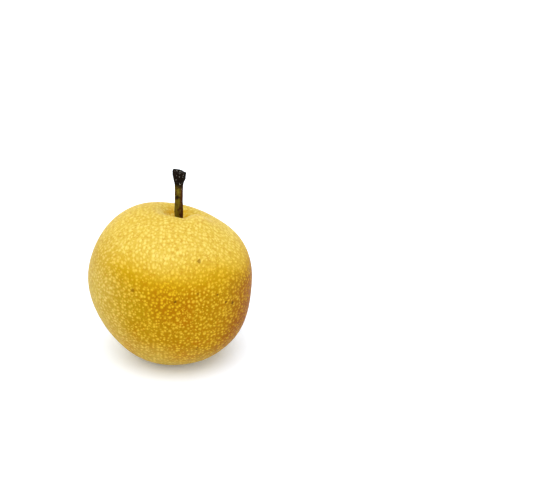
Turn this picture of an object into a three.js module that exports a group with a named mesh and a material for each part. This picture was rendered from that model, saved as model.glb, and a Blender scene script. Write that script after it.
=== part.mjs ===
// A nashi pear, as picked: a round golden fruit that stands on the rim of its calyx basin, and its
// woody stem. Millimetres, +Z up. The origin is on the surface that the fruit stands on, under the
// middle of the fruit. The front is at -Y.
import * as THREE from "three";
import { mergeVertices } from "three/addons/utils/BufferGeometryUtils.js";

const { degToRad, smoothstep } = THREE.MathUtils;

// The fruit's driving dimensions. Heights run from the level where the fruit is widest.
const FRUIT_WIDTH = 78;
const CROWN_HEIGHT = 34.3; // to where the shoulders would close over the stem cavity
const BASE_HEIGHT = 42.2; // to where the base would close over the calyx basin
const CROWN_SQUARENESS = 2.16; // exponent of the outline: 2 is an ellipse, more is squarer
const BASE_SQUARENESS = 2.02;
const FLAT_SPOT_TRIM = 0.45; // how much of the basin's rim is pressed flat where it stands

// How the fruit departs from a turned form.
const CROWN_SHIFT = new THREE.Vector2(4, 3); // the crown is drawn to the right and back
const SHOULDER_RISE = new THREE.Vector2(-8.8, -3.5); // height gained, per half width to the right and back
const HAUNCH_SWELL = new THREE.Vector2(2.2, -1); // the lower flank swells to the right and front
const OVAL_SHARE = 0.014; // the cross-section is a little longer one way
const OVAL_ANGLE = degToRad(133);
const RIB_COUNT = 5; // one soft rib for each carpel, round the cavity and the basin
const RIB_ANGLE = degToRad(-43); // the strongest rib, and the ribs fade to nothing on the far side
const CROWN_RIB_RISE = 1.9;
const CROWN_RIB_RADIUS = 12; // where the crown's ribs are highest
const BASE_RIB_RISE = 0.3;
const BASE_RIB_RADIUS = 15;

// The hollows at the two ends.
const CAVITY_DEPTH = 8;
const CAVITY_RADIUS = 7.7;
const BASIN_DEPTH = 4.2;
const BASIN_RADIUS = 8.5;
const SCAR_RADIUS = 3.2; // the corky ring that the fallen calyx left
const SCAR_WIDTH = 1.4;
const SCAR_RISE = 0.8;

// The stem.
const STEM_HEIGHT = 24.6; // cavity floor to tip
const ROOT_DEPTH = 4;
const ROOT_RADIUS = 1.95;
const ROOT_FLARE_LENGTH = 5;
const WAIST_RADIUS = 1.7;
const HEAD_RADIUS = 2.7;
const HEAD_LENGTH = 6.5; // over which the stem flares into its head
const HEAD_SLANT = 0.12; // slope of the snapped end
const HEAD_DISH_DEPTH = 0.6;
const STEM_LEAN = new THREE.Vector2(0, 0.03); // slope of the stem above its bend
const STEM_BEND_LENGTH = 5;
const SOCKET_GAP = 0.3; // clearance round the root
const SOCKET_FLOOR_GAP = 0.9;

// Mesh fineness.
const FRUIT_SIDES = 60;
const FRUIT_ROWS = 25; // in each of the crown and the base
const STEM_SIDES = 18;
const STEM_ROWS = 22;

const HALF_WIDTH = FRUIT_WIDTH / 2;
const SOCKET_RADIUS = ROOT_RADIUS + SOCKET_GAP;

// A bell of height 1 in the middle that fades to either side.
function bell(distance, width) {
  return Math.exp(-((distance / width) ** 2));
}

// A wave between 0 and 1 that starts from its crest.
function wave(angle) {
  return 0.5 + 0.5 * Math.cos(angle);
}

// The fruit's outline without its hollows, from the axis (0) to the widest level (a quarter turn).
function outlineAt(angle, height, squareness) {
  const power = 2 / squareness;
  const radius = HALF_WIDTH * Math.abs(Math.sin(angle)) ** power;
  const rise = height * Math.abs(Math.cos(angle)) ** power;
  return { radius, rise };
}

function crownPoint(angle) {
  const { radius, rise } = outlineAt(angle, CROWN_HEIGHT, CROWN_SQUARENESS);
  return new THREE.Vector2(radius, rise - CAVITY_DEPTH * bell(radius, CAVITY_RADIUS));
}

function basePoint(angle) {
  const { radius, rise } = outlineAt(angle, BASE_HEIGHT, BASE_SQUARENESS);
  const basin = BASIN_DEPTH * bell(radius, BASIN_RADIUS);
  const scar = SCAR_RISE * bell(radius - SCAR_RADIUS, SCAR_WIDTH);
  return new THREE.Vector2(radius, basin - scar - rise);
}

// Where the crown's outline reaches the stem's socket.
const SOCKET_ANGLE = Math.asin((SOCKET_RADIUS / HALF_WIDTH) ** (CROWN_SQUARENESS / 2));
const CAVITY_FLOOR = crownPoint(SOCKET_ANGLE).y;

// The outline from the middle of the basin, round the flank, into the cavity and down the socket.
function fruitProfile() {
  const points = [];
  const quarter = Math.PI / 2;
  for (let row = 0; row < FRUIT_ROWS; row++) {
    points.push(basePoint((row / FRUIT_ROWS) * quarter));
  }
  for (let row = FRUIT_ROWS; row >= 0; row--) {
    points.push(crownPoint(THREE.MathUtils.lerp(SOCKET_ANGLE, quarter, row / FRUIT_ROWS)));
  }
  const socketFloor = CAVITY_FLOOR - ROOT_DEPTH - SOCKET_FLOOR_GAP;
  points.push(new THREE.Vector2(SOCKET_RADIUS, socketFloor));
  points.push(new THREE.Vector2(0, socketFloor));
  return points;
}

// Turns an outline about +Z and joins its seam, so that the form is one closed surface.
function turned(outline, sides) {
  const geometry = new THREE.LatheGeometry(outline, sides).rotateX(Math.PI / 2);
  geometry.deleteAttribute("normal");
  geometry.deleteAttribute("uv");
  return mergeVertices(geometry, 1e-3);
}

// Moves each vertex of a geometry by a function that changes the point it is given.
function reshape(geometry, change) {
  const place = geometry.attributes.position;
  const point = new THREE.Vector3();
  for (let i = 0; i < place.count; i++) {
    change(point.fromBufferAttribute(place, i));
    place.setXYZ(i, point.x, point.y, point.z);
  }
}

// Takes a point of the turned form to its place on the grown, lopsided one.
function growFruit(point) {
  const outward = Math.min(Math.hypot(point.x, point.y) / HALF_WIDTH, 1);
  const angle = Math.atan2(point.y, point.x);
  const isCrown = point.z > 0;
  const squareness = isCrown ? CROWN_SQUARENESS : BASE_SQUARENESS;
  // 0 at the widest level and 1 on the axis, with no kink between the two halves.
  const share = (1 - outward ** squareness) ** (2 / squareness);
  const ribRadius = isCrown ? CROWN_RIB_RADIUS : BASE_RIB_RADIUS;
  const ribs =
    wave(angle - RIB_ANGLE) ** 3 *
    wave(RIB_COUNT * (angle - RIB_ANGLE)) *
    bell(outward * HALF_WIDTH - ribRadius, ribRadius / 2);
  const stretch = 1 + OVAL_SHARE * outward * Math.cos(2 * (angle - OVAL_ANGLE));
  point.x *= stretch;
  point.y *= stretch;
  if (isCrown) {
    point.z += (share * (SHOULDER_RISE.x * point.x + SHOULDER_RISE.y * point.y)) / HALF_WIDTH;
    point.z += CROWN_RIB_RISE * ribs;
    point.x += CROWN_SHIFT.x * share;
    point.y += CROWN_SHIFT.y * share;
  } else {
    const haunch = 4 * share * (1 - share);
    point.z -= BASE_RIB_RISE * ribs;
    point.x += HAUNCH_SWELL.x * haunch;
    point.y += HAUNCH_SWELL.y * haunch;
  }
}

function makeFruit() {
  const geometry = turned(fruitProfile(), FRUIT_SIDES);
  reshape(geometry, growFruit);
  geometry.computeBoundingBox();
  const surface = geometry.boundingBox.min.z + FLAT_SPOT_TRIM;
  reshape(geometry, (point) => {
    point.z = Math.max(point.z, surface);
  });
  const skin = new THREE.MeshStandardMaterial({ color: 0xd9a832, roughness: 0.5, metalness: 0 });
  const mesh = new THREE.Mesh(geometry, skin);
  mesh.name = "fruit";
  return mesh;
}

// 0 along the stem's length and 1 at its snapped end.
function headShare(height) {
  return smoothstep(height, STEM_HEIGHT - HEAD_LENGTH, STEM_HEIGHT - 1);
}

// The stem's outline from the middle of its root to the middle of its snapped end.
function stemProfile() {
  const points = [new THREE.Vector2(0, -ROOT_DEPTH)];
  for (let row = 0; row <= STEM_ROWS; row++) {
    const height = THREE.MathUtils.lerp(-ROOT_DEPTH, STEM_HEIGHT, row / STEM_ROWS);
    const flare = (ROOT_RADIUS - WAIST_RADIUS) * bell(Math.max(height, 0), ROOT_FLARE_LENGTH);
    const head = (HEAD_RADIUS - WAIST_RADIUS) * headShare(height);
    points.push(new THREE.Vector2(WAIST_RADIUS + flare + head, height));
  }
  points.push(new THREE.Vector2(HEAD_RADIUS * 0.6, STEM_HEIGHT - HEAD_DISH_DEPTH / 3));
  points.push(new THREE.Vector2(0, STEM_HEIGHT - HEAD_DISH_DEPTH));
  return points;
}

// Makes the head knobbly, slants its end down to the right, and bends the stem over.
function growStem(point) {
  const head = headShare(point.z);
  const angle = Math.atan2(point.y, point.x);
  const knobs = 1 + head * (0.1 * Math.cos(2 * angle + 0.5) + 0.07 * Math.cos(3 * angle));
  point.x *= knobs;
  point.y *= knobs;
  point.z -= head * HEAD_SLANT * point.x;
  const bent = Math.hypot(Math.max(point.z, 0), STEM_BEND_LENGTH) - STEM_BEND_LENGTH;
  point.x += bent * STEM_LEAN.x;
  point.y += bent * STEM_LEAN.y;
}

function makeStem() {
  const geometry = turned(stemProfile(), STEM_SIDES);
  reshape(geometry, growStem);
  const bark = new THREE.MeshStandardMaterial({ color: 0x4a3f1c, roughness: 0.8, metalness: 0 });
  const mesh = new THREE.Mesh(geometry, bark);
  mesh.name = "stem";
  mesh.position.set(CROWN_SHIFT.x, CROWN_SHIFT.y, CAVITY_FLOOR);
  return mesh;
}

const pear = new THREE.Group();
pear.add(makeFruit(), makeStem());

// Stands the flat spot on the surface, with the origin under the middle.
const box = new THREE.Box3().setFromObject(pear, true);
const middle = box.getCenter(new THREE.Vector3());
pear.position.set(-middle.x, -middle.y, -box.min.z);

export default pear;
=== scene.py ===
# A nashi pear on a pale floor: speckled golden skin and a woody stem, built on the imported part.
import math

import bmesh
import bpy
from bpy.props import FloatProperty, FloatVectorProperty, IntProperty, PointerProperty
from mathutils import Matrix, Vector, noise


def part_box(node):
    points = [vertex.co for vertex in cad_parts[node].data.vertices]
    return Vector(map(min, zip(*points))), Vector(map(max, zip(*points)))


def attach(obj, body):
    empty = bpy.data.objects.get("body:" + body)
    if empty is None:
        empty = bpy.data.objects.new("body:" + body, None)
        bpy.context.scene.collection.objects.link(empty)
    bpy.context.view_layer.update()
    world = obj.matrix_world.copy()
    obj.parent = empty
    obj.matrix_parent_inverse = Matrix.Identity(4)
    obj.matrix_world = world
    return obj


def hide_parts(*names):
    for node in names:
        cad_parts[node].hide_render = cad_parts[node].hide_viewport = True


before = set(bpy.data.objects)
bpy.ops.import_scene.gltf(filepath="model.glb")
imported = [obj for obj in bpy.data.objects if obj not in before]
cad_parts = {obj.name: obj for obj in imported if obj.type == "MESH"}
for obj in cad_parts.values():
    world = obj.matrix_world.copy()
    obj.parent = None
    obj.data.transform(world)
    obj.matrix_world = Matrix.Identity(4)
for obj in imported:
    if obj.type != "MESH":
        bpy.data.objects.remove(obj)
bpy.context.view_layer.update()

bl_info = {
    "name": "Nashi pear",
    "version": (1, 0, 0),
    "blender": (4, 5, 0),
    "location": "3D View > Sidebar > Nashi",
    "description": "Dresses a packed nashi pear with fine skin, bark, a pale floor and studio light",
    "category": "Object",
}

MM = 0.001
COLOUR_A, COLOUR_B, COLOUR_MIXED = 6, 7, 2  # the colour sockets of a Mix node
POLE_SPOKES = 12  # a pole of a turned mesh has at least this many edges
WELD_GAP = 0.001 * MM  # vertices nearer than this are one
PEAR_MIDDLE = 39 * MM  # height of the fruit's middle
FLOOR_SIDES = 64
COVE_STEPS = 8

# Places that differ a little from what is round them, in millimetres.
AMBER_PATCH = (-2.5, -38, 46)  # riper skin, on the front
CAVITY_SHADE_SPOT = (0.8, 7.3, 69)  # darker in the hollow beside the stem: painted shade
CAVITY_RIDGE = (11.5, -5.3, 72.4)  # higher, and paler with a painted highlight, on the cavity's brim
BRACT_SCAR = (3.4, 1.7, 79.6)  # on the stem, where a bract fell off

# Small dark scars on the front, as x, y, z and radius in millimetres, and how strongly each shows.
BLEMISHES = (
    (2.0, -38.5, 45.3, 0.9, 0.85),
    (12.7, -29.0, 60.7, 1.2, 0.58),
    (12.1, -36.4, 48.1, 0.9, 0.5),
    (28.1, -27.8, 39.2, 1.0, 0.9),
    (25.0, -30.5, 41.1, 0.9, 0.85),
    (20.9, -32.8, 45.8, 0.8, 0.7),
    (-16.7, -33.4, 48.6, 1.1, 0.55),
    (11.7, -33.2, 18.5, 0.6, 0.8),
    (12.3, -33.9, 19.8, 0.6, 0.8),
)
BLEMISH_CORE = 0.45  # share of a scar's radius that is fully dark

# Noises that make the edges of colours uneven, as a wavelength and the whole span of the shift.
COLOUR_EDGE = (22 * MM, 20 * MM)  # between the fruit's large areas
CROWN_EDGE = (22 * MM, 11 * MM)
PATCH_EDGE = (7 * MM, 6 * MM)
BRIM_EDGE = (4 * MM, 3 * MM)
CALYX_EDGE = (1.6 * MM, 3 * MM)
SPECK_EDGE = (2 * MM, 0.8 * MM)
BLEMISH_EDGE = (0.9 * MM, 0.9 * MM)
BARK_EDGE = (1.3 * MM, 2.4 * MM)
BRACT_EDGE = (0.8 * MM, 0.8 * MM)

# Sizes of the patterns in the skin and the bark.
GREEN_PATCHES = 24 * MM
OCHRE_PATCHES = 13 * MM
SPECK_CROWDS = 9 * MM  # where the fine lenticels are strong or faint
PORE_SPACING = 5 * MM
NETTING = 1.1 * MM  # finer on real skin, and drawn as coarse as it needs to show
SKIN_GRAIN = 0.5 * MM  # much finer on real skin, and drawn as coarse as it needs to show
BARK_MOTTLE = 1.7 * MM
BARK_STREAKS = 0.8 * MM
STREAK_SCALE = (1, 1, 0.3)  # draws the streaks out along the stem
FLAKE_SPACING = 0.9 * MM

# What all spots share.
SPOT_SCATTER = 0.85  # 0 for a grid and 1 for fully scattered
FAINTEST_SPOT = 0.55
VIEW_BLEND = 0.06  # how softly the spots of one view give way to the next

# Relief of the fruit.
FLANK_WAVE = 16 * MM
DIMPLE_WAVE = 2.4 * MM
RELIEF_START = 0.2 * MM  # up to this height the skin is smooth, where the fruit rests
RELIEF_FULL = 5 * MM
RIDGE_WIDTH = 8 * MM
CAVITY_PLEATS = 17
CAVITY_PLEAT_WAVE = 5 * MM
CAVITY_PLEAT_RING = 4 * MM  # how far from the stem its pleats are highest
CAVITY_PLEAT_WIDTH = 2 * MM
CALYX_PLEATS = 10
CALYX_PLEAT_WAVE = 3 * MM
CALYX_PLEAT_RING = 3 * MM
CALYX_PLEAT_WIDTH = 1.4 * MM
CALYX_FRAY_WAVE = 2 * MM
CALYX_PIT_WIDTH = 1.3 * MM
PLEAT_STRAY = 2  # how far a pleat wanders from its line, in radians of its own wave

# The part's socket for the stem, which becomes a dimple.
SOCKET_RISE = 1 * MM  # how far above the stem's root its wall ends
SOCKET_REACH = 3 * MM  # from the middle of its floor to beyond its wall
DIMPLE_WIDTH = 0.5  # share of the socket's width
DIMPLE_DEPTH = 0.8 * MM

# Shape and relief of the stem, with depths below its end and heights above its root.
END_RADIUS = 2.2 * MM  # the edge of the snapped end lies outside this
END_DEPTH = 1.5 * MM
END_SHARPNESS = 0.8
RIM_START_DEPTH = 3 * MM
RIM_FULL_DEPTH = 0.5 * MM
RIM_SLANT = 8 * MM  # this far to the right of the middle the rim wouldn't rise
HEAD_START_DEPTH = 7 * MM
HEAD_FULL_DEPTH = 1 * MM
ROOT_START_HEIGHT = 10 * MM
ROOT_FULL_HEIGHT = 3 * MM
ROOT_THINNING = 2.2  # the bark's fullness is taken off the root this many times
STEM_RIDGES = 6
STEM_RIDGE_WAVE = 6 * MM
STEM_RIDGE_STRAY = 1.5
STEM_TWIST = 5 * MM  # height over which the ridges turn by a radian of their wave
LUMP_WAVE = 3.2 * MM
SCAB_WAVE = 1.5 * MM


def linear(code):
    """The linear colour of an sRGB hex code."""
    parts = [int(code[i:i + 2], 16) / 255 for i in (1, 3, 5)]
    return tuple(c / 12.92 if c <= 0.04045 else ((c + 0.055) / 1.055) ** 2.4 for c in parts)


def length(name, description, millimetres):
    """A length setting, whose default is given in millimetres."""
    return FloatProperty(
        name=name, description=description, default=millimetres * MM, unit="LENGTH",
        subtype="DISTANCE", precision=5, min=0)


def colour(name, description, code):
    """A colour setting, whose default is given as an sRGB hex code."""
    return FloatVectorProperty(
        name=name, description=description, default=linear(code), size=3, subtype="COLOR", min=0,
        max=1)


class FruitSettings(bpy.types.PropertyGroup):
    steps: IntProperty(
        name="Smoothing steps", description="Times that the part's grid is split", default=2, min=0,
        max=2)
    unevenness: length("Unevenness", "How far the flank rises and falls over a thumb's width", 0.22)
    dimpling: length("Dimpling", "How far the skin rises and falls between lenticels", 0.035)
    cavity_pleats: length("Cavity pleats", "Height of the fine pleats round the stem", 0.14)
    ridge_rise: length("Ridge rise", "How far the cavity's brim stands up beside the stem", 1.15)
    calyx_pleats: length("Calyx pleats", "Height of the pleats in the calyx scar", 0.35)
    calyx_pit: length("Calyx pit", "Depth of the pit in the middle of the calyx scar", 0.9)
    lenticel_spacing: length("Lenticel spacing", "Distance between the larger lenticels", 1.75)
    fine_spacing: length("Fine spacing", "Distance between the fine lenticels among them", 1.15)
    gold: colour("Gold", "Ground colour of the flank", "#9c7000")
    ochre: colour("Ochre", "Deeper patches of the ground", "#a05e00")
    amber: colour("Amber", "The riper patch on the front", "#996400")
    olive: colour("Olive", "Greener patches of the ground", "#a08004")
    # The bright band and the pale crown are partly the skin's own paler top and partly a painted
    # highlight of the light from above.
    yellow_and_highlight: colour("Yellow", "Bright band between the flank and the crown", "#b48e08")
    straw_and_highlight: colour("Straw", "Paler ground of the crown", "#c4a540")
    honey: colour("Honey", "Ground of the cavity round the stem", "#d6a40c")
    # A painted highlight on the raised brim of the cavity.
    ridge_highlight: colour("Cream", "Pale ridge on the cavity's brim", "#d4bc78")
    # Partly the skin's own duller colour, partly a painted reflection of the pale floor and
    # surroundings on the left side and the base.
    khaki_and_reflection: colour("Khaki", "Dull ground of the shaded side and the base", "#b4983a")
    # Partly the skin's own red-brown reddening, partly painted shade and reddish reflection along that
    # side.
    blush_and_shade: colour("Blush", "Red-brown side that faced the sun", "#7a3800")
    lenticel: colour("Lenticel", "Specks of the flank", "#d6ae2c")
    amber_lenticel: colour("Amber lenticel", "Specks of the riper patch", "#d4ac14")
    # Paler specks on the crown: partly their own colour, partly a painted highlight.
    crown_lenticel_and_highlight: colour("Crown lenticel", "Specks of the crown", "#ddca6a")
    # Paler specks on the left side and the base: partly their own colour, partly a painted reflection
    # of the pale floor.
    pale_lenticel_and_reflection: colour("Pale lenticel", "Specks of the shaded side and the base", "#d2b866")
    # Duller specks on the red-brown side: partly their own colour, partly painted shade.
    tan_lenticel_and_shade: colour("Tan lenticel", "Specks of the red-brown side", "#ac7c1e")
    russet: colour("Russet", "Corky brown at the stem and the calyx scar", "#8a5a22")
    cork: colour("Cork", "Dry ring of the calyx scar", "#a58a5e")
    blemish: colour("Blemish", "Small dark scars", "#603a02")


class StemSettings(bpy.types.PropertyGroup):
    steps: IntProperty(
        name="Smoothing steps", description="Times that the part's grid is split", default=2, min=0,
        max=3)
    fullness: length("Fullness", "How far the bark stands out from the part's stem", 0.3)
    rim_rise: length("Rim rise", "How far the rim of the snapped end stands up", 0.4)
    ridges: length("Ridges", "Height of the ridges that run up the stem", 0.09)
    lumps: length("Lumps", "Height of the lumps along the stem", 0.12)
    scabs: length("Scabs", "Height of the scabs on the head", 0.3)
    green: colour("Green bark", "Living bark of the shaft", "#5e4f0c")
    lime: colour("Lime bark", "Lighter streaks in the green", "#74661c")
    brown: colour("Brown bark", "Weathered bark of one side and the root", "#3c1a06")
    black: colour("Black bark", "Dried bark of the head", "#120a04")
    # Partly the bark's own pale flecks, partly painted glints of the light.
    flake_and_glint: colour("Flake", "Pale flakes and pores on the bark", "#b5b3a6")


class StageSettings(bpy.types.PropertyGroup):
    view_distance: length("View distance", "From the camera to the pear's middle", 480)
    view_height: FloatProperty(
        name="View elevation", description="How steeply the camera looks down",
        default=math.radians(25), unit="ROTATION")
    view_roll: FloatProperty(
        name="View roll", description="Keeps the stem upright off the picture's middle",
        default=math.radians(2.15), unit="ROTATION")
    lens: FloatProperty(name="Lens", description="Focal length", default=67.49, unit="CAMERA")
    aim: FloatVectorProperty(
        name="Aim", description="From the pear's middle to the aim point, right and up",
        default=(46.2 * MM, 14.2 * MM), size=2, unit="LENGTH", subtype="TRANSLATION")
    floor: colour("Floor", "Pale floor", "#f0f6ff")
    floor_radius: length("Floor radius", "Radius of the level floor", 2200)
    cove_radius: length("Cove radius", "Radius of the curve at the floor's edge", 800)
    # Weaker glow at the pear: a painted shadow round where it stands.
    near_glow: FloatProperty(
        name="Near glow", description="Light through the floor at the pear", default=0.13, min=0)
    far_glow: FloatProperty(
        name="Far glow", description="Light through the floor away from the pear", default=0.3,
        min=0)
    glow_start: length("Glow start", "Distance from the pear where the glow begins to grow", 60)
    glow_end: length("Glow end", "Distance from the pear where the glow is full", 300)
    sky: FloatProperty(name="Sky", description="Strength of the even light", default=0.7, min=0)
    softbox: FloatProperty(
        name="Softbox", description="Strength of the broad light", default=2.55, min=0)
    softbox_spread: FloatProperty(
        name="Softbox spread", description="How wide the broad light looks from the pear",
        default=math.radians(70), min=0, unit="ROTATION")
    softbox_side: FloatVectorProperty(
        name="Softbox side", description="Direction that the broad light comes from",
        default=(-0.08, -0.3, 0.94), size=3, subtype="DIRECTION")


def smooth_step(start, full, value):
    """0 before start, 1 past full, and an even ease between them."""
    share = min(max((value - start) / (full - start), 0), 1)
    return share * share * (3 - 2 * share)


def bell(distance, width):
    """1 at no distance, fading to either side."""
    return math.exp(-(distance / width) ** 2)


def rolling(place, wavelength):
    """A smooth unevenness between about -1 and 1."""
    return noise.noise(place / wavelength)


def poles(mesh):
    """The vertices on the axis of a turned mesh, the highest first."""
    found = [vert for vert in mesh.verts if len(vert.link_edges) >= POLE_SPOKES]
    return sorted(found, key=lambda vert: -vert.co.z)


def joined_copy(node):
    """A bmesh of a CAD node with its loose triangles joined into the quads that it was turned in."""
    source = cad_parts[node].data.copy()
    for name in ("custom_normal", "sharp_edge", "sharp_face"):
        if name in source.attributes:
            source.attributes.remove(source.attributes[name])
    mesh = bmesh.new()
    mesh.from_mesh(source)
    bpy.data.meshes.remove(source)
    bmesh.ops.remove_doubles(mesh, verts=mesh.verts, dist=WELD_GAP)
    fans = {face for pole in poles(mesh) for face in pole.link_faces}
    bmesh.ops.join_triangles(mesh, faces=[face for face in mesh.faces if face not in fans],
                             angle_face_threshold=math.pi, angle_shape_threshold=math.pi)
    return mesh


def finished(mesh, name, material, steps):
    """Turns a bmesh into a smooth object with its subdivision applied."""
    data = bpy.data.meshes.new(name)
    mesh.to_mesh(data)
    mesh.free()
    piece = bpy.data.objects.new(name, data)
    bpy.context.scene.collection.objects.link(piece)
    surface = piece.modifiers.new("Subdivision", "SUBSURF")
    surface.levels = surface.render_levels = steps
    bpy.context.view_layer.update()
    fine = bpy.data.meshes.new_from_object(
        piece.evaluated_get(bpy.context.evaluated_depsgraph_get()))
    piece.modifiers.clear()
    piece.data = fine
    bpy.data.meshes.remove(data)
    fine.name = name
    fine.materials.clear()
    fine.materials.append(material)
    fine.shade_smooth()
    return piece


def push(piece, lift):
    """Moves each vertex of a piece along its normal by lift(place)."""
    data = piece.data
    moved = [vert.co + vert.normal * lift(vert.co) for vert in data.vertices]
    for vert, place in zip(data.vertices, moved):
        vert.co = place
    data.update()


def place_piece(piece, node):
    """Sets a piece in the place of a CAD node."""
    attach(piece, "root")
    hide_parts(node)


def add_node(tree, kind, values=None, **settings):
    """Adds a shader node, sets its options, and sets or links its inputs by name or number."""
    made = tree.nodes.new(kind)
    for option, value in settings.items():
        setattr(made, option, value)
    for key, value in (values or {}).items():
        if isinstance(value, bpy.types.NodeSocket):
            tree.links.new(value, made.inputs[key])
        else:
            made.inputs[key].default_value = value
    return made


def rgba(tint):
    """A colour setting with full alpha, as a shader socket takes it."""
    return (*tint, 1)


def blank_material(name):
    """A material and its node tree, which is still empty."""
    material = bpy.data.materials.new(name)
    material.use_nodes = True
    material.node_tree.nodes.clear()
    return material, material.node_tree


def painted(tree, ground, coats):
    """A ground colour with coats over it, the lowest first.

    Each coat is a value that it follows, the value where the coat is still bare, the value where it
    is full, how much it covers there, and its tint.
    """
    for value, bare, full, cover, tint in coats:
        share = add_node(tree, "ShaderNodeMapRange", {
            "Value": value, "From Min": bare, "From Max": full, "To Max": cover},
            interpolation_type="SMOOTHSTEP")
        laid = add_node(tree, "ShaderNodeMix", {
            "Factor": share.outputs[0], COLOUR_A: ground, COLOUR_B: tint}, data_type="RGBA")
        ground = laid.outputs[COLOUR_MIXED]
    return ground


def wobbled(tree, place, wavelength, reach):
    """Places shifted a little by noise, so that what is drawn on them isn't geometric."""
    drift = add_node(tree, "ShaderNodeTexNoise", {
        "Vector": place, "Scale": 1 / wavelength, "Detail": 1.0})
    centred = add_node(tree, "ShaderNodeVectorMath", {
        0: drift.outputs["Color"], 1: (0.5, 0.5, 0.5)}, operation="SUBTRACT")
    moved = add_node(tree, "ShaderNodeVectorMath", {
        0: centred.outputs[0], 1: (reach, reach, reach), 2: place}, operation="MULTIPLY_ADD")
    return moved.outputs[0]


def spots(tree, place, spacing, small, large, core, missing=0.0, dimensions="3D"):
    """A mask of soft round spots, whose radii run from small to large shares of their spacing.

    Core is the share of a spot's radius that is solid. Missing is the share of spots that all have
    the small radius, which leaves them out where that is next to nothing.
    """
    cells = add_node(tree, "ShaderNodeTexVoronoi", {
        "Vector": place, "Scale": 1 / spacing, "Randomness": SPOT_SCATTER},
        voronoi_dimensions=dimensions)
    chance = add_node(tree, "ShaderNodeSeparateColor", {"Color": cells.outputs["Color"]})
    edge = add_node(tree, "ShaderNodeMapRange", {
        "Value": chance.outputs["Red"], "From Min": missing, "To Min": small, "To Max": large})
    solid = add_node(tree, "ShaderNodeMath", {0: edge.outputs[0], 1: core}, operation="MULTIPLY")
    strength = add_node(tree, "ShaderNodeMapRange", {
        "Value": chance.outputs["Green"], "To Min": FAINTEST_SPOT})
    mask = add_node(tree, "ShaderNodeMapRange", {
        "Value": cells.outputs["Distance"], "From Min": edge.outputs[0],
        "From Max": solid.outputs[0], "To Max": strength.outputs[0]},
        interpolation_type="SMOOTHSTEP")
    return mask.outputs[0]


def wrapped_spots(tree, place, facing, spacing, small, large, core):
    """Spots spaced evenly over a round surface: each of three views paints the faces turned to it."""
    parts = add_node(tree, "ShaderNodeSeparateXYZ", {"Vector": place})
    squarely = add_node(tree, "ShaderNodeVectorMath", {0: facing}, operation="ABSOLUTE")
    turned = add_node(tree, "ShaderNodeSeparateXYZ", {"Vector": squarely.outputs[0]})
    most = 0.0
    for axis in "XYZ":
        larger = add_node(tree, "ShaderNodeMath", {
            0: turned.outputs[axis], 1: most}, operation="MAXIMUM")
        most = larger.outputs[0]
    cover = 0.0
    for axis, (right, up) in {"X": "YZ", "Y": "XZ", "Z": "XY"}.items():
        flat = add_node(tree, "ShaderNodeCombineXYZ", {
            "X": parts.outputs[right], "Y": parts.outputs[up]})
        mask = spots(tree, flat.outputs[0], spacing, small, large, core, dimensions="2D")
        behind = add_node(tree, "ShaderNodeMath", {
            0: most, 1: turned.outputs[axis]}, operation="SUBTRACT")
        share = add_node(tree, "ShaderNodeMapRange", {
            "Value": behind.outputs[0], "From Max": VIEW_BLEND, "To Min": 1.0, "To Max": 0.0})
        shown = add_node(tree, "ShaderNodeMath", {
            0: mask, 1: share.outputs[0]}, operation="MULTIPLY")
        joined = add_node(tree, "ShaderNodeMath", {
            0: shown.outputs[0], 1: cover}, operation="MAXIMUM")
        cover = joined.outputs[0]
    return cover


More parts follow.
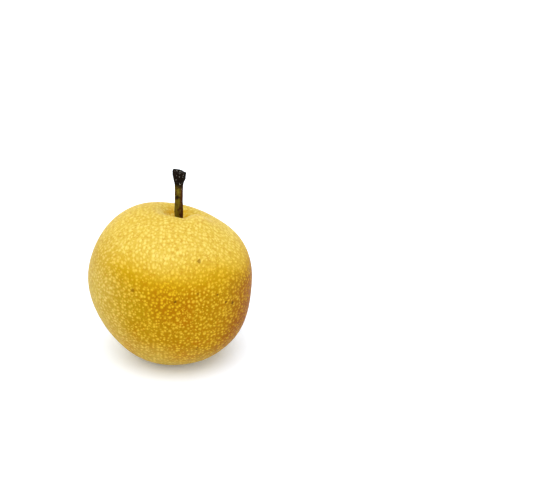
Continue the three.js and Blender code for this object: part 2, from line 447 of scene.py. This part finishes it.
def make_skin(settings, middle, stem_foot, calyx):
    """Nashi skin: thin, waxy and golden, with pale corky lenticels that speckle it finely."""
    material, tree = blank_material("nashi_skin_waxy_speckled")
    place = add_node(tree, "ShaderNodeTexCoord").outputs["Object"]
    from_middle = add_node(tree, "ShaderNodeVectorMath", {0: place, 1: middle}, operation="SUBTRACT")
    cloudy = wobbled(tree, from_middle.outputs[0], *COLOUR_EDGE)
    drifting = wobbled(tree, from_middle.outputs[0], *CROWN_EDGE)
    brim = wobbled(tree, place, *BRIM_EDGE)

    # How far a place lies from the fruit's middle towards each side that has its own colour or painted
    # light.
    towards = {}
    for side, shifted, direction in (
            ("crown", drifting, (0.05, 0, 1)),
            ("crown specks", drifting, (0, 0.1, 1)),
            ("shade", cloudy, (-1, 0, -0.2)),
            ("cheek", cloudy, (-0.6, -0.75, 0.35)),
            ("base", cloudy, (0, 0, -1)),
            ("sun_blush_and_shade", cloudy, (1, -0.2, -0.6))):
        along = add_node(tree, "ShaderNodeVectorMath", {
            0: shifted, 1: Vector(direction).normalized()}, operation="DOT_PRODUCT")
        towards[side] = along.outputs["Value"]

    # How far it lies from each point that the skin changes round.
    away = {}
    for spot, shifted, point in (
            ("patch", wobbled(tree, place, *PATCH_EDGE), Vector(AMBER_PATCH) * MM),
            ("crease", brim, Vector(CAVITY_SHADE_SPOT) * MM),
            ("ridge", brim, Vector(CAVITY_RIDGE) * MM),
            ("stem", brim, stem_foot),
            ("calyx", wobbled(tree, place, *CALYX_EDGE), calyx)):
        gap = add_node(tree, "ShaderNodeVectorMath", {0: shifted, 1: point}, operation="DISTANCE")
        away[spot] = gap.outputs["Value"]

    deeper = add_node(tree, "ShaderNodeTexNoise", {
        "Vector": place, "Scale": 1 / OCHRE_PATCHES, "Detail": 3.0})
    greener = add_node(tree, "ShaderNodeTexNoise", {"Vector": cloudy, "Scale": 1 / GREEN_PATCHES})
    ground = painted(tree, rgba(settings.gold), [
        (deeper.outputs["Fac"], 0.48, 0.72, 0.7, rgba(settings.ochre)),
        (greener.outputs["Fac"], 0.5, 0.7, 0.3, rgba(settings.olive)),
        (towards["cheek"], 25 * MM, 38 * MM, 0.8, rgba(settings.olive)),
        (away["patch"], 15 * MM, 4 * MM, 0.8, rgba(settings.amber)),
        # Lighter towards the top: partly the crown's own paler skin, partly a painted highlight of the
        # light from above.
        (towards["crown"], 6 * MM, 19 * MM, 1.0, rgba(settings.yellow_and_highlight)),
        (towards["crown"], 12 * MM, 28 * MM, 1.0, rgba(settings.straw_and_highlight)),
        # Paler and duller on the left side: partly the skin's own colour, partly a painted reflection
        # of the pale floor and surroundings.
        (towards["shade"], 14 * MM, 38 * MM, 0.9, rgba(settings.khaki_and_reflection)),
        # Red-brown low on the right: partly the skin's own reddening, partly painted shade and reddish
        # reflection.
        (towards["sun_blush_and_shade"], 21 * MM, 40 * MM, 0.9, rgba(settings.blush_and_shade)),
        # Paler towards the base: partly its own colour, partly painted bounce light from the pale
        # floor.
        (towards["base"], 16 * MM, 36 * MM, 0.85, rgba(settings.khaki_and_reflection)),
        (away["stem"], 11 * MM, 5 * MM, 0.8, rgba(settings.honey)),
        # Darker in the hollow beside the stem: painted shade.
        (away["crease"], 5 * MM, 1.5 * MM, 0.25, rgba(settings.ochre)),
        # Paler on the cavity's brim beside the stem: a painted highlight.
        (away["ridge"], 8 * MM, 1 * MM, 0.35, rgba(settings.ridge_highlight)),
    ])
    lenticels = painted(tree, rgba(settings.lenticel), [
        (away["patch"], 15 * MM, 4 * MM, 0.8, rgba(settings.amber_lenticel)),
        # Paler specks towards the top: partly their own colour, partly a painted highlight.
        (towards["crown specks"], 9 * MM, 25 * MM, 1.0, rgba(settings.crown_lenticel_and_highlight)),
        # Paler specks on the left side: partly their own colour, partly a painted reflection of the
        # pale floor.
        (towards["shade"], 12 * MM, 36 * MM, 1.0, rgba(settings.pale_lenticel_and_reflection)),
        # Duller specks low on the right: partly their own colour, partly painted shade.
        (towards["sun_blush_and_shade"], 22 * MM, 38 * MM, 0.7, rgba(settings.tan_lenticel_and_shade)),
        # Paler specks towards the base: partly their own colour, partly painted bounce light from the
        # pale floor.
        (towards["base"], 16 * MM, 36 * MM, 0.8, rgba(settings.pale_lenticel_and_reflection)),
    ])

    # Without their soft edges the larger lenticels are about a millimetre across, and the fine ones
    # a little over half of that.
    speck_place = wobbled(tree, place, *SPECK_EDGE)
    facing = add_node(tree, "ShaderNodeVectorMath", {0: cloudy}, operation="NORMALIZE")
    flank = wrapped_spots(tree, speck_place, facing.outputs[0], settings.lenticel_spacing,
                          small=0.36, large=0.72, core=0.1)
    fine = spots(tree, speck_place, settings.fine_spacing, small=0.38, large=0.68, core=0.0)
    crowding = add_node(tree, "ShaderNodeTexNoise", {
        "Vector": place, "Scale": 1 / SPECK_CROWDS, "Detail": 2.0})
    fading = add_node(tree, "ShaderNodeMapRange", {
        "Value": crowding.outputs["Fac"], "From Min": 0.35, "From Max": 0.6, "To Min": 0.45})
    faint = add_node(tree, "ShaderNodeMath", {0: fine, 1: fading.outputs[0]}, operation="MULTIPLY")
    both = add_node(tree, "ShaderNodeMath", {0: flank, 1: faint.outputs[0]}, operation="MAXIMUM")
    speckle = both.outputs[0]

    pores = spots(tree, speck_place, PORE_SPACING, small=0.001, large=0.09, core=0.3, missing=0.8)
    netting = add_node(tree, "ShaderNodeTexNoise", {
        "Vector": place, "Scale": 1 / NETTING, "Detail": 2.0})
    skin = painted(tree, ground, [
        (netting.outputs["Fac"], 0.48, 0.66, 0.3, rgba(settings.ochre)),
        (speckle, 0.0, 1.0, 0.78, lenticels),
        (pores, 0.0, 1.0, 0.5, rgba(settings.blemish)),
        (away["stem"], 4 * MM, 2.2 * MM, 0.3, rgba(settings.russet)),
        (away["calyx"], 8.5 * MM, 4.5 * MM, 0.9, rgba(settings.russet)),
        (away["calyx"], 4.4 * MM, 3.4 * MM, 0.75, rgba(settings.cork)),
        (away["calyx"], 2.6 * MM, 0.8 * MM, 0.9, rgba(settings.blemish)),
    ])
    scarred = wobbled(tree, place, *BLEMISH_EDGE)
    for *point, radius, cover in BLEMISHES:
        gap = add_node(tree, "ShaderNodeVectorMath", {
            0: scarred, 1: Vector(point) * MM}, operation="DISTANCE")
        edge, core = radius * MM, radius * BLEMISH_CORE * MM
        skin = painted(tree, skin, [(gap.outputs["Value"], edge, core, cover, rgba(settings.blemish))])

    roughness = add_node(tree, "ShaderNodeMapRange", {
        "Value": speckle, "To Min": 0.45, "To Max": 0.6})
    grain = add_node(tree, "ShaderNodeTexNoise", {"Vector": place, "Scale": 1 / SKIN_GRAIN})
    relief = add_node(tree, "ShaderNodeMath", {
        0: grain.outputs["Fac"], 1: 0.4, 2: speckle}, operation="MULTIPLY_ADD")
    bump = add_node(tree, "ShaderNodeBump", {
        "Strength": 0.7, "Distance": 0.1 * MM, "Height": relief.outputs[0]})
    shader = add_node(tree, "ShaderNodeBsdfPrincipled", {
        "Base Color": skin, "Roughness": roughness.outputs[0], "Normal": bump.outputs[0],
        "IOR": 1.42, "Specular IOR Level": 0.03, "Subsurface Weight": 0.08,
        "Subsurface Radius": (1.0, 0.5, 0.1), "Subsurface Scale": 1 * MM})
    add_node(tree, "ShaderNodeOutputMaterial", {"Surface": shader.outputs[0]})
    return material


def make_bark(settings, middle, low, high):
    """Young pear wood: matt olive bark on one side, weathered brown on the other, black at the head."""
    material, tree = blank_material("pear_wood_bark_dried")
    place = add_node(tree, "ShaderNodeTexCoord").outputs["Object"]
    cracked = wobbled(tree, place, *BARK_EDGE)
    parts = add_node(tree, "ShaderNodeSeparateXYZ", {"Vector": cracked})
    across, height = parts.outputs["X"], parts.outputs["Z"]
    drawn_out = add_node(tree, "ShaderNodeMapping", {"Vector": place, "Scale": STREAK_SCALE})
    streaks = add_node(tree, "ShaderNodeTexNoise", {
        "Vector": drawn_out.outputs[0], "Scale": 1 / BARK_STREAKS, "Detail": 3.0})
    mottle = add_node(tree, "ShaderNodeTexNoise", {
        "Vector": place, "Scale": 1 / BARK_MOTTLE, "Detail": 3.0})
    from_scar = add_node(tree, "ShaderNodeVectorMath", {
        0: wobbled(tree, place, *BRACT_EDGE), 1: Vector(BRACT_SCAR) * MM}, operation="DISTANCE")
    # Pale flecks near the head: partly the bark's own, partly painted glints.
    flakes = spots(tree, cracked, FLAKE_SPACING, small=0.001, large=0.42, core=0.5, missing=0.25)
    loose = add_node(tree, "ShaderNodeMapRange", {
        "Value": height, "From Min": high - 12 * MM, "From Max": high - 6 * MM, "To Max": 0.75})
    flaked = add_node(tree, "ShaderNodeMath", {0: flakes, 1: loose.outputs[0]}, operation="MULTIPLY")
    bark = painted(tree, rgba(settings.green), [
        (streaks.outputs["Fac"], 0.5, 0.68, 0.8, rgba(settings.lime)),
        (mottle.outputs["Fac"], 0.52, 0.66, 0.9, rgba(settings.brown)),
        (across, middle - 0.1 * MM, middle + 1.2 * MM, 0.95, rgba(settings.brown)),
        (height, high - 9 * MM, high - 5 * MM, 1.0, rgba(settings.black)),
        (height, low + 8 * MM, low + 5 * MM, 0.6, rgba(settings.brown)),
        (from_scar.outputs["Value"], 1.5 * MM, 0.5 * MM, 0.9, rgba(settings.black)),
        (flaked.outputs[0], 0.0, 1.0, 1.0, rgba(settings.flake_and_glint)),
    ])
    bump = add_node(tree, "ShaderNodeBump", {
        "Strength": 0.8, "Distance": 0.2 * MM, "Height": streaks.outputs["Fac"]})
    shader = add_node(tree, "ShaderNodeBsdfPrincipled", {
        "Base Color": bark, "Roughness": 0.8, "Normal": bump.outputs[0], "IOR": 1.5,
        "Specular IOR Level": 0.06})
    add_node(tree, "ShaderNodeOutputMaterial", {"Surface": shader.outputs[0]})
    return material


def make_table(settings):
    """Opal acrylic lit from below, a white table that takes only a soft shadow under the pear, deepened
    by a painted shadow where its glow is dimmer round the pear.
    """
    material, tree = blank_material("opal_acrylic_matt_backlit")
    place = add_node(tree, "ShaderNodeTexCoord").outputs["Object"]
    outward = add_node(tree, "ShaderNodeVectorMath", {0: place}, operation="LENGTH")
    # The glow is weakest at the pear and grows outwards: a painted shadow round the pear.
    glow = add_node(tree, "ShaderNodeMapRange", {
        "Value": outward.outputs["Value"], "From Min": settings.glow_start,
        "From Max": settings.glow_end, "To Min": settings.near_glow, "To Max": settings.far_glow},
        interpolation_type="SMOOTHSTEP")
    shader = add_node(tree, "ShaderNodeBsdfPrincipled", {
        "Base Color": rgba(settings.floor), "Roughness": 0.9, "Specular IOR Level": 0.1,
        "Emission Color": (1, 1, 1, 1), "Emission Strength": glow.outputs[0]})
    add_node(tree, "ShaderNodeOutputMaterial", {"Surface": shader.outputs[0]})
    return material


class NASHI_OT_fruit(bpy.types.Operator):
    """Model the fruit: flesh and skin in one piece, closed round the stem"""
    bl_idname = "nashi.fruit"
    bl_label = "Fruit"

    def execute(self, context):
        settings = context.scene.nashi_fruit
        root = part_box("stem")[0].z
        mesh = joined_copy("fruit")
        socket, basin = (pole.co.copy() for pole in poles(mesh))
        # The flesh closes round the stem, so the socket becomes a dimple that the stem fills.
        walls = [vert for vert in mesh.verts
                 if vert.co.z < root + SOCKET_RISE and (vert.co - socket).length < SOCKET_REACH]
        lip = min(edge.other_vert(vert).co.z for vert in walls for edge in vert.link_edges
                  if edge.other_vert(vert) not in walls)
        for vert in walls:
            vert.co.x = socket.x + (vert.co.x - socket.x) * DIMPLE_WIDTH
            vert.co.y = socket.y + (vert.co.y - socket.y) * DIMPLE_WIDTH
            vert.co.z = lip - DIMPLE_DEPTH
        stem_foot = Vector((socket.x, socket.y, lip))
        skin = make_skin(settings, Vector((0, 0, PEAR_MIDDLE)), stem_foot, basin)
        piece = finished(mesh, "fruit_skin", skin, settings.steps)
        ridge = Vector(CAVITY_RIDGE) * MM

        def lift(place):
            from_stem, from_calyx = place - stem_foot, place - basin
            uneven = (settings.unevenness * rolling(place, FLANK_WAVE)
                      + settings.dimpling * rolling(place, DIMPLE_WAVE))
            cavity_pleat = math.cos(CAVITY_PLEATS * math.atan2(from_stem.y, from_stem.x)
                                    + PLEAT_STRAY * rolling(place, CAVITY_PLEAT_WAVE))
            calyx_pleat = math.cos(CALYX_PLEATS * math.atan2(from_calyx.y, from_calyx.x)
                                   + PLEAT_STRAY * rolling(place, CALYX_PLEAT_WAVE))
            frayed = 1 + rolling(place, CALYX_FRAY_WAVE)
            by_stem = bell(from_stem.length - CAVITY_PLEAT_RING, CAVITY_PLEAT_WIDTH)
            by_calyx = bell(from_calyx.length - CALYX_PLEAT_RING, CALYX_PLEAT_WIDTH)
            return (uneven * smooth_step(RELIEF_START, RELIEF_FULL, place.z)
                    + settings.cavity_pleats * cavity_pleat * by_stem
                    + settings.ridge_rise * bell((place - ridge).length, RIDGE_WIDTH)
                    + settings.calyx_pleats * calyx_pleat * frayed * by_calyx
                    - settings.calyx_pit * bell(from_calyx.length, CALYX_PIT_WIDTH))

        push(piece, lift)
        place_piece(piece, "fruit")
        return {"FINISHED"}


class NASHI_OT_stem(bpy.types.Operator):
    """Model the stem: a knobbly woody shaft with a flared, dried head"""
    bl_idname = "nashi.stem"
    bl_label = "Stem"

    def execute(self, context):
        settings = context.scene.nashi_stem
        low, high = (corner.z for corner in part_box("stem"))
        mesh = joined_copy("stem")
        end, root = (pole.co.copy() for pole in poles(mesh))
        # The snapped end keeps a sharp edge, and its rim stands up higher on one side.
        edge_verts = {vert for vert in mesh.verts
                      if (vert.co.xy - end.xy).length > END_RADIUS and vert.co.z > high - END_DEPTH}
        crease = mesh.edges.layers.float.new("crease_edge")
        for edge in mesh.edges:
            if edge_verts.issuperset(edge.verts):
                edge[crease] = END_SHARPNESS
        for vert in mesh.verts:
            share = smooth_step(high - RIM_START_DEPTH, high - RIM_FULL_DEPTH, vert.co.z)
            vert.co.z += settings.rim_rise * share * (1 - (vert.co.x - end.x) / RIM_SLANT)
        bark = make_bark(settings, root.x, low, high)
        piece = finished(mesh, "stem_bark", bark, settings.steps)

        def lift(place):
            from_root = place - root
            head = smooth_step(high - HEAD_START_DEPTH, high - HEAD_FULL_DEPTH, place.z)
            rooted = smooth_step(low + ROOT_START_HEIGHT, low + ROOT_FULL_HEIGHT, place.z)
            ridge = math.cos(STEM_RIDGES * math.atan2(from_root.y, from_root.x)
                             + STEM_RIDGE_STRAY * rolling(place, STEM_RIDGE_WAVE)
                             + from_root.z / STEM_TWIST)
            return (settings.fullness * (1 - ROOT_THINNING * rooted)
                    + settings.ridges * ridge
                    + settings.lumps * rolling(place, LUMP_WAVE)
                    + settings.scabs * head * rolling(place, SCAB_WAVE))

        push(piece, lift)
        place_piece(piece, "stem")
        return {"FINISHED"}


class NASHI_OT_stage(bpy.types.Operator):
    """Set the stage: a pale floor, soft studio light and the camera"""
    bl_idname = "nashi.stage"
    bl_label = "Stage"

    def execute(self, context):
        scene = context.scene
        settings = scene.nashi_stage

        ground = bmesh.new()
        bmesh.ops.create_circle(
            ground, cap_ends=True, segments=FLOOR_SIDES, radius=settings.floor_radius)
        # The floor's edge curves up all round, so that it has no horizon.
        rim = [edge for edge in ground.edges if edge.is_boundary]
        for step in range(1, COVE_STEPS + 1):
            turn = step / COVE_STEPS * math.pi / 2
            grown = bmesh.ops.extrude_edge_only(ground, edges=rim)["geom"]
            rim = [part for part in grown if isinstance(part, bmesh.types.BMEdge)]
            radius = settings.floor_radius + settings.cove_radius * math.sin(turn)
            for vert in {vert for edge in rim for vert in edge.verts}:
                vert.co.xy = vert.co.xy.normalized() * radius
                vert.co.z = settings.cove_radius * (1 - math.cos(turn))
        bmesh.ops.recalc_face_normals(ground, faces=ground.faces)
        data = bpy.data.meshes.new("floor")
        ground.to_mesh(data)
        ground.free()
        data.materials.append(make_table(settings))
        data.shade_smooth()
        floor = bpy.data.objects.new("floor", data)
        scene.collection.objects.link(floor)

        world = bpy.data.worlds.new("even_light")
        world.use_nodes = True
        world.node_tree.nodes.clear()
        even = add_node(world.node_tree, "ShaderNodeBackground", {
            "Color": (1, 1, 1, 1), "Strength": settings.sky})
        add_node(world.node_tree, "ShaderNodeOutputWorld", {"Surface": even.outputs[0]})
        scene.world = world

        # A sun as wide as a softbox lights the floor evenly out to its edge.
        lamp = bpy.data.lights.new("softbox", "SUN")
        lamp.angle = settings.softbox_spread
        lamp.energy = settings.softbox
        light = bpy.data.objects.new("softbox", lamp)
        light.rotation_euler = Vector(settings.softbox_side).to_track_quat("Z", "Y").to_euler()
        scene.collection.objects.link(light)

        view = bpy.data.cameras.new("view")
        view.lens = settings.lens
        view.clip_start = 10 * MM
        camera = bpy.data.objects.new("view", view)
        scene.collection.objects.link(camera)
        down = settings.view_height
        forward = Vector((0, math.cos(down), -math.sin(down)))
        above = Vector((0, math.sin(down), math.cos(down)))
        middle = Vector((0, 0, PEAR_MIDDLE))
        aim = middle + Vector((settings.aim[0], 0, 0)) + above * settings.aim[1]
        stand = middle - forward * settings.view_distance
        turn = (aim - stand).to_track_quat("-Z", "Y").to_matrix()
        turn = turn @ Matrix.Rotation(settings.view_roll, 3, "Z")
        camera.matrix_world = Matrix.Translation(stand) @ turn.to_4x4()
        scene.camera = camera
        scene.view_settings.view_transform = "Standard"
        return {"FINISHED"}


class NASHI_PT_panel(bpy.types.Panel):
    """The pear's steps and settings"""
    bl_idname = "NASHI_PT_panel"
    bl_label = "Nashi pear"
    bl_space_type = "VIEW_3D"
    bl_region_type = "UI"
    bl_category = "Nashi"

    def draw(self, context):
        scene = context.scene
        for settings, step in ((scene.nashi_fruit, NASHI_OT_fruit),
                               (scene.nashi_stem, NASHI_OT_stem),
                               (scene.nashi_stage, NASHI_OT_stage)):
            box = self.layout.box()
            for name in settings.__annotations__:
                box.prop(settings, name)
            box.operator(step.bl_idname)


CLASSES = (FruitSettings, StemSettings, StageSettings, NASHI_OT_fruit, NASHI_OT_stem,
           NASHI_OT_stage, NASHI_PT_panel)


def register():
    for kind in CLASSES:
        bpy.utils.register_class(kind)
    bpy.types.Scene.nashi_fruit = PointerProperty(type=FruitSettings)
    bpy.types.Scene.nashi_stem = PointerProperty(type=StemSettings)
    bpy.types.Scene.nashi_stage = PointerProperty(type=StageSettings)


def unregister():
    del bpy.types.Scene.nashi_stage
    del bpy.types.Scene.nashi_stem
    del bpy.types.Scene.nashi_fruit
    for kind in reversed(CLASSES):
        bpy.utils.unregister_class(kind)


def main():
    register()
    bpy.ops.nashi.fruit()
    bpy.ops.nashi.stem()
    bpy.ops.nashi.stage()


if __name__ == "__main__":
    main()
